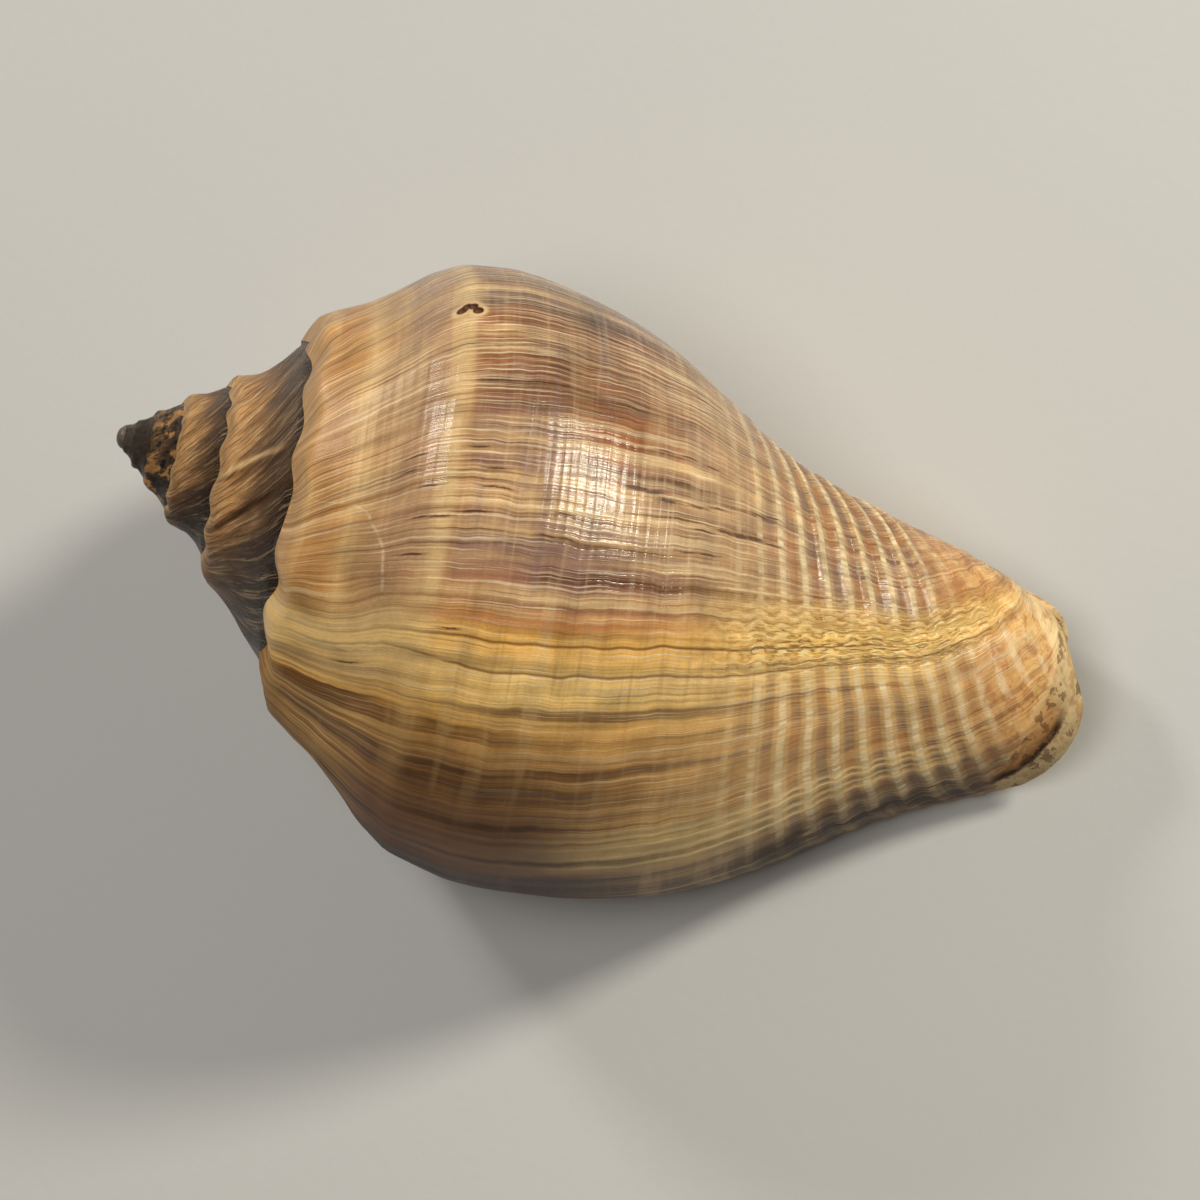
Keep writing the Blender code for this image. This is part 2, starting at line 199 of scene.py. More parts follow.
# ---- the shell's surface
back_radius = smooth_curve(BACK_OUTLINE)
suture_radius = float(back_radius(NEXT_SUTURE_STATION)) / WHORL_GROWTH
back_radius = smooth_curve(((SUTURE_STATION, suture_radius),) + BACK_OUTLINE)
growth_lead = smooth_curve(tuple((s, math.radians(d)) for s, d in GROWTH_LINE))
floor_tail = smooth_curve(FLOOR_TAIL)
line_bend = smooth_curve(LINE_BEND)
PERIOD = 2 * math.pi - float(growth_lead(SUTURE_STATION) - growth_lead(NEXT_SUTURE_STATION))


def between_sutures(station):
    return np.clip((station - SUTURE_STATION) / (NEXT_SUTURE_STATION - SUTURE_STATION), 0, 1)


def whorls_up(angle, station):
    return np.maximum(-angle / (2 * math.pi) - between_sutures(station), 0)


def place(angle, station, radius):
    """Point in the shell's own axes, mm: X to the canal, +Z its back, -Y the lip's side."""
    scale = np.exp(GROWTH_RATE * angle)
    out = radius * scale
    along = station * scale - SPIRE_TILT * out * np.sin(angle) * ease(whorls_up(angle, station))
    along = along - APEX_REACH * np.exp(-along / APEX_REACH_LENGTH)
    bend = BEND_OFFSET * np.clip((along - BEND_START) / BEND_LENGTH, 0, None) ** 2
    return np.stack(np.broadcast_arrays(along, bend - out * np.sin(angle), out * np.cos(angle)), axis=-1)


def late_narrowing(turn, station):
    newest = rise(turn, LIP_TURN - NARROW_TURN, NARROW_TURN)
    return 1 - NARROW_SHARE * rise(station, NARROW_START, NARROW_LENGTH) * newest


def spire_shrink(angle, station):
    up = whorls_up(angle, station)
    flat = SPIRE_FLATTENING * np.sin(math.pi * between_sutures(station)) * ease(2 * up)
    slim = SPIRE_SLIMMING * ease(up) * (1 - TIP_SLIMMING_LOSS * ease(up - 1))
    return (1 - flat) * (1 - slim)


def corner_cut(turn):
    f = np.clip(1 - (LIP_TURN - turn) / CORNER_TURN, 0, 1)
    return CORNER_CUT * (1 - np.sqrt(1 - f ** 2)) - BOW_REACH * bell(turn, BOW_TURN, BOW_WIDTH)


def growth_line(turn, station):
    """Which growth line passes through a point, degrees."""
    lag = LAG * bell(station, LAG_STATION, LAG_WIDTH) * ease(np.degrees(turn) / LAG_RISE)
    return np.degrees(turn) + line_bend(station) - lag


def cord_share(turn, station):
    """How strongly the canal's spiral cords stand out, 0 to 1."""
    share = ease((station - CORD_FIRST + CORD_FADE) / (1.5 * CORD_FADE))
    share = share * rise(turn, CORD_OLDEST, CORD_OLD_FADE)
    return share * (CORD_LIP_SHARE + (1 - CORD_LIP_SHARE) * ease((LIP_TURN - turn) / CORD_LIP_FADE))


def cord_relief(turn, station):
    crest = 0.5 + 0.5 * np.cos(2 * math.pi * (station - CORD_FIRST) / CORD_PITCH)
    cord = CORD_HEIGHT * (CORD_CREST * crest ** CORD_SHARPNESS - CORD_GROOVE)
    cord = cord * (1 - END_LOSS * rise(station, *CANAL_END))
    cord = cord * (1 - SCAR_LOSS * bell(np.degrees(turn), *SCAR_ZONE))
    cord = cord * (1 - AFTER_SCAR_LOSS * rise(np.degrees(turn), *AFTER_SCAR))
    return cord * cord_share(turn, station)


def scar_relief(turn, station):
    """The step where growth once halted."""
    past = np.radians(growth_line(turn, station)) - SCAR_TURN
    step = np.where(past <= 0, np.exp(np.minimum(past, 0) / SCAR_FADE), bell(past, 0, SCAR_STEP_WIDTH))
    return SCAR_HEIGHT * step * rise(station, SUTURE_STATION, SCAR_TOP_FADE)


def fine_relief(turn, station):
    """Wrinkles, flaky edges by the scar, raised spiral lines, the welt under the suture."""
    t = growth_line(turn, station)
    s = station
    wobble = t + crumple(s, t, *WOBBLE)
    wrinkle = sum(crumple(s, wobble, *row) for row in WRINKLES)
    wrinkle = wrinkle * (1 + 0.8 * rise(t, 18, 40) + 0.7 * bell(s, 24, 6))
    folds = crumple(s, wobble, *FOLDS) * bell(s, 21, 8) * rise(t, 20, 10)
    flakes = np.abs(crumple(s, wobble, *FLAKES)) * bell(t, 9, 9) * rise(s, 50, 18)
    ledges = LEDGE_HEIGHT * sum(bell(t, *row) for row in LEDGES) * rise(s, 18, 6)
    late_ledges = LATE_LEDGE_HEIGHT * sum(bell(t, *row) for row in LATE_LEDGES) * rise(s, 30, 12)
    shoulder = sum(height * bell(s, at, width) for height, at, width in SHOULDER_LINES)
    height, at, width = WELT
    return wrinkle + folds + flakes + ledges + late_ledges + shoulder + height * bell(s, at, width)


def spire_relief(angle, station):
    """Slanting folds, single ridges and a worn, lumpy tip."""
    up = whorls_up(angle, station)
    across = between_sutures(station)

    def lumps(degrees, height, per_whorl, size, seed):
        return height * noise(across * per_whorl, degrees / size, seed)

    slant = np.degrees(angle) + SPIRE_SLANT * across
    folds = lumps(slant, *SPIRE_FOLDS) * rise(across, 0.25, 0.4) + lumps(slant, *SPIRE_CREASES)
    worn = lumps(np.degrees(angle), *WORN_TIP) * rise(up, 1.4, 1.2)
    turn = np.degrees(angle - growth_lead(station))
    ridge = sum(height * bell(turn + slope * station, at, width) for height, slope, at, width in SPIRE_RIDGES)
    ridge = ridge * ease(across / 0.1) * ease((1 - across) / 0.1)
    knob = KNOB_HEIGHT * bell(turn, *KNOB_DEGREES) * bell(station, *KNOB_STATION)
    return (folds + worn + ridge + knob) * ease(3 * up)


def suture_wave(angle, station):
    """How far the line where whorls meet strays from an even spiral."""
    ripple = crumple(np.degrees(angle), 0, *SUTURE_RIPPLE)
    wave = SUTURE_WAVE * np.sin(SUTURE_WAVES_PER_TURN * angle) + ripple
    return wave * ease(1 - (station - SUTURE_STATION) / SUTURE_WAVE_FADE)


def outside(turn, station):
    """Point of the shell's outer surface. Relief fades out where whorls meet."""
    angle = turn + growth_lead(station)
    radius = back_radius(station) * late_narrowing(turn, station) * spire_shrink(angle, station)
    on_seam = rise(station, SUTURE_STATION, SEAM_FADE)
    covered = ease((station - NEXT_SUTURE_STATION + SEAM_FADE) / SEAM_FADE)
    covered = covered * ease(20 * whorls_up(angle, station))
    radius = radius + (cord_relief(turn, station) + scar_relief(turn, station))
    radius = radius + (fine_relief(turn, station) + spire_relief(angle, station)) * on_seam * (1 - covered)
    cut = corner_cut(turn) * rise(station, CORNER_START, END_STATION - CORNER_START)
    return place(angle, station + suture_wave(angle, station) - cut, radius)


# ---- the coiled mesh
def body_stations():
    """Stations of the last whorl: a spire whorl's, then even ones to the end."""
    share = np.linspace(0, 1, SPIRE_STATIONS + 1) ** SPIRE_STATION_CROWDING
    band = SUTURE_STATION + (NEXT_SUTURE_STATION - SUTURE_STATION) * share
    rest = np.linspace(NEXT_SUTURE_STATION, END_STATION, BODY_STATION_COUNT)
    return np.concatenate([band, rest[1:]])


def coil_points(turns, body_start, stations):
    """Points of the coil, and their numbers by row and column. Whorls share a suture's points."""
    rows = len(turns) - body_start
    columns = len(stations) + len(PILLAR_OUTLINE)
    spire = outside(turns[:body_start, None], stations[None, :SPIRE_STATIONS])
    body = outside(turns[body_start:, None], stations[None, :])
    end_angle = (turns[body_start:] + float(growth_lead(END_STATION)))[:, None]
    pillar_stations, pillar_radii = np.array(PILLAR_OUTLINE).T
    cut = corner_cut(turns[body_start:])[:, None]
    pillar = place(end_angle, pillar_stations[None, :] - cut, pillar_radii[None, :])
    last_whorl = np.concatenate([body, pillar], axis=1)
    spire_count = body_start * SPIRE_STATIONS
    index = np.full((len(turns), columns), -1)
    index[:body_start, :SPIRE_STATIONS] = np.arange(spire_count).reshape(body_start, SPIRE_STATIONS)
    index[body_start:] = spire_count + np.arange(rows * columns).reshape(rows, columns)
    index[:body_start + 1, SPIRE_STATIONS] = index[ROWS_PER_PERIOD:, 0]
    return np.concatenate([spire.reshape(-1, 3), last_whorl.reshape(-1, 3)]), index


def coil_faces(index, body_start, degrees, stations):
    """Faces of the coil with the growth of their corners."""
    faces = []
    growth = []
    for row in range(len(index) - 1):
        for i in range(len(stations) - 1 if row >= body_start else SPIRE_STATIONS):
            corners = ((row, i), (row + 1, i), (row + 1, i + 1), (row, i + 1))
            faces.append(tuple(index[corner] for corner in corners))
            growth += [(degrees[at_row], stations[column]) for at_row, column in corners]
    return faces, growth


def zip_chains(points, first, second):
    """Triangles across the gap between two chains of points that share both their ends."""
    def gap(i, j):
        within = i < len(first) and j < len(second)
        return np.linalg.norm(points[first[i]] - points[second[j]]) if within else math.inf

    faces = []
    i = j = 0
    while i < len(first) - 1 or j < len(second) - 1:
        if gap(i + 1, j) <= gap(i, j + 1):
            face = (first[i], first[i + 1], second[j])
            i += 1
        else:
            face = (first[i], second[j], second[j + 1])
            j += 1
        if len(set(face)) == 3:
            faces.append(face)
    return faces


def mouth_skin(points, index, body_start, stations):
    """Triangles of the skin over the mouth and canal, and their corners' growth."""
    lip = list(index[-1])
    pillar = list(index[body_start, SPIRE_STATIONS:]) + list(index[body_start + 1:, -1])
    faces = zip_chains(points, lip, pillar)
    at_lip = {corner: (SKIN_DEGREES, station) for corner, station in zip(lip, stations)}
    elsewhere = (SKIN_DEGREES, SKIN_STATION)
    return faces, [at_lip.get(corner, elsewhere) for face in faces for corner in face]


def tip_cap(points, rim):
    """The points with the rounded tip's added, and the triangles that close the coil's start."""
    rings = [rim]
    for ring_number in range(1, TIP_RINGS):
        lift = 0.5 * math.pi * ring_number / TIP_RINGS
        ring = points[rim] * math.cos(lift)
        ring[:, 0] = points[rim, 0] + (APEX_STATION - points[rim, 0]) * math.sin(lift)
        rings.append(list(range(len(points), len(points) + len(rim))))
        points = np.concatenate([points, ring])
    tip = len(points)
    points = np.concatenate([points, [[APEX_STATION, 0, 0]]])
    faces = []
    for low_ring, high_ring in zip(rings, rings[1:]):
        for i, here in enumerate(low_ring):
            k = (i + 1) % len(low_ring)
            faces += [(here, low_ring[k], high_ring[k]), (here, high_ring[k], high_ring[i])]
    top = rings[-1]
    faces += [(here, there, tip) for here, there in zip(top, top[1:] + top[:1])]
    return points, faces


def drop_unused(points, faces):
    """The points that faces use, and the faces with the new numbers."""
    used = np.zeros(len(points), dtype=bool)
    for face in faces:
        used[list(face)] = True
    renumber = np.cumsum(used) - 1
    return points[used], [tuple(int(renumber[corner]) for corner in face) for face in faces]


def linked_object(name, data):
    thing = bpy.data.objects.new(name, data)
    bpy.context.scene.collection.objects.link(thing)
    return thing


def linked_piece(name, bm, mesh, material):
    """Object in the scene with the mesh that bm holds."""
    bm.to_mesh(mesh)
    bm.free()
    mesh.materials.append(material)
    return linked_object(name, mesh)


def mesh_piece(name, points, faces, growth, material):
    """Mesh object in metres. growth holds (degrees, mm) for every corner of every face."""
    mesh = bpy.data.meshes.new(name)
    mesh.from_pydata(np.asarray(points) * MM, [], faces)
    layer = mesh.uv_layers.new(name="growth")
    layer.data.foreach_set("uv", np.asarray(growth, dtype=np.float32).ravel())
    bm = bmesh.new()
    bm.from_mesh(mesh)
    bmesh.ops.recalc_face_normals(bm, faces=bm.faces)
    if bm.calc_volume(signed=True) < 0:
        bmesh.ops.reverse_faces(bm, faces=bm.faces)
    bmesh.ops.triangulate(bm, faces=bm.faces)
    return linked_piece(name, bm, mesh, material)


def coiled_body(name, material):
    """The whole outside, closed over its mouth and canal by a plain skin."""
    last = PERIODS * ROWS_PER_PERIOD
    body_start = last - ROWS_PER_PERIOD
    turns = LIP_TURN - PERIODS * PERIOD + PERIOD * np.arange(last + 1) / ROWS_PER_PERIOD
    degrees = np.degrees(turns)
    stations = body_stations()
    points, index = coil_points(turns, body_start, stations)
    pillar_marks = END_STATION + PILLAR_MARK_STEP * np.arange(1, len(PILLAR_OUTLINE) + 1)
    stations = np.concatenate([stations, pillar_marks])
    rim = list(index[:ROWS_PER_PERIOD, 0]) + [index[0, i] for i in range(SPIRE_STATIONS, 0, -1)]
    points, cap = tip_cap(points, rim)
    faces, growth = coil_faces(index, body_start, degrees, stations)
    skin, skin_growth = mouth_skin(points, index, body_start, stations)
    cap_growth = [(degrees[0], SUTURE_STATION)] * (3 * len(cap))
    points, faces = drop_unused(points, faces + skin + cap)
    return mesh_piece(name, points, faces, growth + skin_growth + cap_growth, material)


# ---- the hollow, the worm hole, the resting flat
def chamber_section(turn):
    """Loop of points round the living chamber at one growth angle, and their stations."""
    back = math.degrees(turn - LIP_TURN)
    low = float(smooth_curve(CHAMBER_LOW)(back))
    pinch = float(smooth_curve(CHAMBER_PINCH)(back))
    f = 1 - (1 - np.linspace(0, 1, CHAMBER_STATIONS)) ** CHAMBER_STATION_CROWDING
    station = CHAMBER_TOP_STATION + (low - CHAMBER_TOP_STATION) * f
    edge = np.minimum(station, END_STATION)
    angle = turn + growth_lead(edge)
    wall = WALL_AT_LIP + (WALL_INSIDE - WALL_AT_LIP) * ease((LIP_TURN - turn) / WALL_TURN)
    ceiling = back_radius(edge) * late_narrowing(turn, edge) * spire_shrink(angle, edge) - wall
    below = station * WHORL_GROWTH
    floor = np.where(below < FLOOR_TAIL[0][0], back_radius(below), floor_tail(below)) / WHORL_GROWTH
    floor = floor * spire_shrink(angle - 2 * math.pi, below) + CALLUS
    floor = floor + CALLUS_RISE * rise(turn, LIP_TURN, CHAMBER_FRONT)
    ceiling = np.maximum(ceiling, floor + THINNEST_CHAMBER)
    ceiling = floor + (ceiling - floor) * (1 - pinch * ease((f - 1 + PINCH_SHARE) / PINCH_SHARE))
    closing = rise(turn, LIP_TURN - CHAMBER_DEPTH, CHAMBER_CLOSE)
    share = CHAMBER_END_SHARE + (1 - CHAMBER_END_SHARE) * closing
    middle = (ceiling + floor) / 2
    ceiling = middle + (ceiling - middle) * share
    floor = middle + (floor - middle) * share
    floor_points = place(angle - 2 * math.pi, below, floor * WHORL_GROWTH)
    points = np.concatenate([place(angle, station, ceiling), floor_points[::-1]])
    return points, np.concatenate([station, CHAMBER_FLOOR_MARK + station[::-1]])


def chamber(name, material):
    """The hollow to be cut: a closed coiled tube that starts in front of the mouth."""
    reach = CHAMBER_DEPTH + CHAMBER_FRONT
    back = reach * np.linspace(1, 0, CHAMBER_ROWS) ** CHAMBER_ROW_CROWDING
    turns = LIP_TURN + CHAMBER_FRONT - back
    loops = [chamber_section(turn) for turn in turns]
    size = 2 * CHAMBER_STATIONS
    faces = []
    growth = []
    for row in range(len(turns) - 1):
        here, there = np.degrees(turns[row]), np.degrees(turns[row + 1])
        stations = loops[row][1]
        for i in range(size):
            k = (i + 1) % size
            faces.append((row * size + i, row * size + k, (row + 1) * size + k, (row + 1) * size + i))
            growth += [(here, stations[i]), (here, stations[k]), (there, stations[k]), (there, stations[i])]
    for row in (0, len(turns) - 1):
        base = row * size
        for i in range(CHAMBER_STATIONS - 1):
            faces.append((base + i, base + i + 1, base + size - 2 - i, base + size - 1 - i))
            growth += [(np.degrees(turns[row]), loops[row][1][i])] * 4
    return mesh_piece(name, np.concatenate([loop[0] for loop in loops]), faces, growth, material)


def subtract(piece, cutter):
    """Take the cutter out of the piece and delete it."""
    cut = piece.modifiers.new("cut", "BOOLEAN")
    cut.operation = "DIFFERENCE"
    cut.solver = "MANIFOLD"
    cut.material_mode = "TRANSFER"
    cut.object = cutter
    depsgraph = bpy.context.evaluated_depsgraph_get()
    mesh = bpy.data.meshes.new_from_object(piece.evaluated_get(depsgraph))
    piece.modifiers.clear()
    piece.data = mesh
    bpy.data.objects.remove(cutter)


def simple_cutter(name, bm, material, mark):
    """Closed cutter whose corners all carry one station, which marks the cut."""
    layer = bm.loops.layers.uv.new("growth")
    for face in bm.faces:
        for loop in face.loops:
            loop[layer].uv = (0, mark)
    return linked_piece(name, bm, bpy.data.meshes.new(name), material)


def pit(material, turn, station, reach):
    bm = bmesh.new()
    bmesh.ops.create_icosphere(bm, subdivisions=2, radius=1)
    centre = outside(math.radians(turn), station)
    for vert in bm.verts:
        vert.co = (Vector(centre) + vert.co * reach) * MM
    return simple_cutter("pit", bm, material, PIT_MARK)


def ground(material):
    """Everything below the floor."""
    bm = bmesh.new()
    bmesh.ops.create_cube(bm, size=GROUND_SIZE)
    for vert in bm.verts:
        vert.co.z -= GROUND_SIZE / 2
    return simple_cutter("ground", bm, material, GROUND_MARK)


def carry_growth(piece, mark):
    """Give the flat cut with this mark the growth of its neighbours."""
    mesh = piece.data
    growth = mesh.uv_layers["growth"].data
    flat = set()
    for face in mesh.polygons:
        corners = [growth[index].uv for index in face.loop_indices]
        if all(uv.x == 0 and abs(uv.y - mark) < 0.5 for uv in corners):
            flat.update(face.loop_indices)
    around = {loop.vertex_index: tuple(growth[loop.index].uv)
              for loop in mesh.loops if loop.index not in flat}
    for index in flat:
        growth[index].uv = around.get(mesh.loops[index].vertex_index, (0, mark))


def rest_matrix():
    turn = Matrix.Rotation(REST_ROLL, 4, "X") @ Matrix.Rotation(REST_PITCH, 4, "Y")
    return Matrix.Translation(Vector(APEX_AT_REST) * MM) @ turn


# ---- building material graphs
def srgb(*colour):
    """Linear colour of a display colour given as 0 to 255."""
    parts = [v / 255 for v in colour]
    return (*(v / 12.92 if v <= 0.04045 else ((v + 0.055) / 1.055) ** 2.4 for v in parts), 1)


class Field:
    """A value or colour in a node tree. Arithmetic on it adds math nodes."""

    def __init__(self, graph, socket):
        self.graph = graph
        self.socket = socket

    def __add__(self, other):
        return self.graph.math("ADD", self, other)

    def __sub__(self, other):
        return self.graph.math("SUBTRACT", self, other)

    def __rsub__(self, other):
        return self.graph.math("SUBTRACT", other, self)

    def __mul__(self, other):
        return self.graph.math("MULTIPLY", self, other)

    __radd__ = __add__
    __rmul__ = __mul__

    def step(self, low, high):
        """0 at low, 1 at high, smooth between and level beyond."""
        ends = (low, high, 0, 1) if low < high else (high, low, 1, 0)
        inputs = dict(enumerate((self, *ends)))
        return self.graph.field("MapRange", "Result", inputs, interpolation_type="SMOOTHSTEP", clamp=True)

    def near(self, middle, width):
        """1 at the middle, 0 a width away and beyond."""
        return self.graph.math("ABSOLUTE", self - middle).step(width, 0)


class Graph:
    """One material's node tree. Three whole numbers are a display colour."""

    def __init__(self, name):
        self.material = bpy.data.materials.new(name)
        self.material.use_nodes = True
        self.tree = self.material.node_tree

    def feed(self, node, inputs):
        """Link or set inputs of a node, by name or number."""
        for key, value in inputs.items():
            if isinstance(value, Field):
                self.tree.links.new(value.socket, node.inputs[key])
            else:
                node.inputs[key].default_value = srgb(*value) if isinstance(value, tuple) else value

    def field(self, kind, output, inputs, **settings):
        """One output of a new node."""
        node = self.tree.nodes.new("ShaderNode" + kind)
        for name, setting in settings.items():
            setattr(node, name, setting)
        self.feed(node, inputs)
        return Field(self, node.outputs[output])

    def math(self, operation, first, second=0):
        return self.field("Math", "Value", {0: first, 1: second}, operation=operation)

    def point(self, x, y, z=0):
        return self.field("CombineXYZ", "Vector", {0: x, 1: y, 2: z})

    def grey(self, value):
        return self.field("CombineColor", "Color", {0: value, 1: value, 2: value})

    def split(self, vector):
        return tuple(self.field("SeparateXYZ", axis, {0: vector}) for axis in "XY")

    def growth(self):
        """Growth angle in degrees and station in mm at the shaded point."""
        return self.split(self.field("UVMap", "UV", {}, uv_map="growth"))

    def noise(self, x, y, texture):
        per_x, per_y, layer, detail, roughness = texture
        point = self.point(x * per_x, y * per_y, layer)
        inputs = {"Vector": point, "Scale": 1, "Detail": detail, "Roughness": roughness}
        return self.field("TexNoise", "Fac", inputs)

    def wave(self, value, length):
        """Cosine of the value, from -1 to 1, with one crest every length."""
        return self.math("COSINE", value * (2 * math.pi / length))

    def nearest(self, x, y, places, size):
        """Distance to the nearest place, in units of the two sizes."""
        here = self.point(x * (1 / size[0]), y * (1 / size[1]))
        nearest = None
        for place_x, place_y in places:
            there = self.point(place_x / size[0], place_y / size[1])
            distance = self.field("VectorMath", "Value", {0: here, 1: there}, operation="DISTANCE")
            nearest = distance if nearest is None else self.math("MINIMUM", nearest, distance)
        return nearest

    def ramp(self, value, low, high, stops, interpolation="LINEAR"):
        """Follow a value from low to high. stops: (value, red, green, blue) or (value, number)."""
        colour = self.field("ValToRGB", "Color", {"Fac": (value - low) * (1 / (high - low))})
        ramp = colour.socket.node.color_ramp
        ramp.interpolation = interpolation
        for i, (at, *parts) in enumerate(stops):
            share = (at - low) / (high - low)
            element = ramp.elements[i] if i < 2 else ramp.elements.new(share)
            element.position = share
            element.color = srgb(*parts) if len(parts) == 3 else parts * 3 + [1]
        return colour

    def curve(self, value, points):
        """Number that follows the points (value, number) smoothly."""
        numbers = [number for at, number in points]
        low, high = min(numbers), max(numbers)
        stops = [(at, (number - low) / (high - low)) for at, number in points]
        return self.ramp(value, points[0][0], points[-1][0], stops, "CARDINAL") * (high - low) + low

    def mix(self, share, first, second, blend="MIX"):
        inputs = {0: share, 6: first, 7: second}
        return self.field("Mix", 2, inputs, data_type="RGBA", blend_type=blend, clamp_factor=True)

    def finish(self, colour, roughness, height, distance):
        """Feed the shader. The bump comes from a height in units of a distance, m."""
        bump = self.field("Bump", "Normal", {"Strength": 1, "Distance": distance, "Height": height})
        shader = self.tree.nodes["Principled BSDF"]
        inputs = {"Base Color": colour, "Roughness": roughness, "Normal": bump, "Specular IOR Level": SHINE}
        self.feed(shader, inputs)
        return self.material


class Coat:
    """A colour built up in layers."""

    def __init__(self, graph, colour):
        self.graph = graph
        self.colour = colour

    def lay(self, share, colour, blend="MIX"):
        self.colour = self.graph.mix(share, self.colour, colour, blend)


# ---- the outside's markings
SHINE = 0.38
OUTER_BUMP, INNER_BUMP, FLOOR_BUMP = 0.00016, 0.00012, 0.0001
# random textures: features per mm of station and per degree of growth line, layer, detail, roughness
TEXTURES = {
    "broad": (0.016, 0.24, 1, 2, 0.5), "middle": (0.03, 0.75, 2, 3, 0.6), "fine": (0.07, 2, 5, 2, 0.6),
    "along": (1.2, 0.03, 7, 2, 0.6), "patch": (0.06, 0.05, 9, 2, 0.5), "grain": (2.6, 2.2, 11, 2, 0.7),
    "blotch": (0.55, 0.085, 33, 3, 0.7), "crumpled": (0.3, 0.5, 15, 3, 0.65),
    "cloud": (0.12, 0.1, 21, 3, 0.65), "mottle": (0.24, 0.15, 37, 2, 0.6),
}
# beads on the cord crests are partly painted glints
BANDS, RUST, BEADS_AND_GLINTS = (0.42, 0.014, 35, 2, 0.6), (0.35, 0.07, 13, 1, 0.5), (0.2, 0.55, 29, 1, 0.5)
# on the spire: features from suture to suture and per degree
FOLD, STRIPE, SPECK = (1.3, 0.075, 23, 2, 0.5), (1.9, 0.42, 25, 3, 0.7), (2.2, 0.055, 27, 3, 0.7)
# how growth lines and spirals wander: texture, degrees
LINE_WANDER = (((0.1, 0.035, 0, 1, 0.5), 2.4), ((0.36, 0.09, 4, 1, 0.5), 1.4))
SPIRAL_WANDER = (0.06, 0.05, 3, 1, 0.5)
# places of marks by growth line and station, and their sizes
NICKS = (
    (-17.2, 26.9), (-13, 28.9), (-12.7, 34.4), (-12.6, 35.6), (-16.4, 34.6), (-20.4, 27.3), (-7.2, 28.6),
    (-7, 30.2), (-7.8, 33.3), (-20.7, 32.8), (-0.1, 28.4), (-9.1, 41.6), (-4.7, 40.2), (-4.8, 41.9),
    (-15.6, 54.6), (-16.3, 56.8), (-18.2, 61.5), (-18.9, 63), (-11.3, 62.9), (-5, 53.8), (-5.1, 55.8),
    (-25.7, 51), (-25.7, 53.6), (-25.6, 56.2), (-0.2, 67.8), (-10.3, 55.4), (22.4, 24.4), (13.2, 32.9),
)
CRACKS = ((-17, 48.3), (-16.6, 50), (-15.4, 51.4), (-11.2, 57.6), (-11.4, 59.2), (-11.6, 60.8))
NICK_SIZE, CRACK_SIZE, PIT_SIZE = (0.24, 1.1), (0.62, 1.2), (1 / 0.46, 1)
ARC = ((-18, 18.9), (-14.3, 21.75), (-11.4, 23.55), (-7.1, 24.6), (-2.8, 25.6), (3.1, 26.1), (8.8, 26.4))
# lines along the scar: degrees, width, strength; pale lines: degrees, width
SCAR_LINES = ((14.2, 0.6, 0.8), (12.4, 0.5, 0.3), (27.4, 0.5, 0.4), (33.5, 0.5, 0.25))
LATE_SCAR_LINE = 17.2
PALE_LINES = ((57, 0.9), (59.6, 0.8), (63.4, 1.2), (66.4, 0.9))
# colours by growth line, by spiral twice, by degrees, and by level on a spire whorl
# the ground darkens from 76 to 103 degrees: a dark band by the lip, partly painted shade at the lower edge
GROUND_STOPS = (
    (-260, 150, 108, 66), (-205, 158, 114, 74), (-150, 166, 120, 76), (-112, 144, 104, 72),
    (-78, 136, 100, 70), (-64, 122, 88, 64), (-54, 144, 94, 60), (-40, 156, 104, 68), (-26, 164, 118, 88),
    (-14, 164, 124, 102), (0, 160, 122, 98), (7, 174, 114, 80), (12, 246, 190, 102), (16, 244, 190, 106),
    (20, 255, 210, 130), (25, 252, 208, 128), (30, 224, 172, 98), (38, 200, 148, 84), (48, 198, 150, 86),
    (56, 210, 164, 96), (63, 234, 194, 118), (68, 206, 162, 92), (76, 150, 110, 60), (84, 100, 68, 34),
    (92, 66, 42, 20), (103, 76, 52, 28), (109, 190, 158, 104),
)
SHOULDER_STOPS = (
    (16.2, 226, 174, 112), (18, 220, 164, 96), (19.6, 196, 138, 72), (21.2, 212, 156, 88),
    (22.3, 238, 194, 128), (23.8, 204, 158, 104), (26, 190, 150, 114), (28.9, 194, 154, 116),
    (30, 220, 184, 130), (30.8, 218, 182, 128), (31.6, 182, 138, 96),
)
CANAL_END_STOPS = (
    (78, 196, 142, 88), (84, 214, 158, 98), (89, 230, 176, 106), (92, 236, 188, 116),
    (93.6, 240, 208, 154), (96, 236, 206, 152),
)
# the darkest stops, near 94 degrees, are a dark band inside the pale rim, partly painted shadow of the growth
# edge
TORN_STOPS = (
    (79, 224, 176, 114), (84, 206, 156, 98), (90.5, 176, 128, 76), (92.6, 110, 74, 40),
    (94.2, 40, 25, 13), (95.6, 66, 42, 22), (97.4, 208, 178, 132), (106, 206, 178, 132),
)
SPIRE_STOPS = (
    (-0.2, 228, 180, 124), (0.06, 216, 164, 106), (0.26, 194, 142, 88), (0.46, 156, 114, 74),
    (0.66, 114, 84, 58), (0.9, 76, 54, 38), (1.15, 44, 31, 22),
)


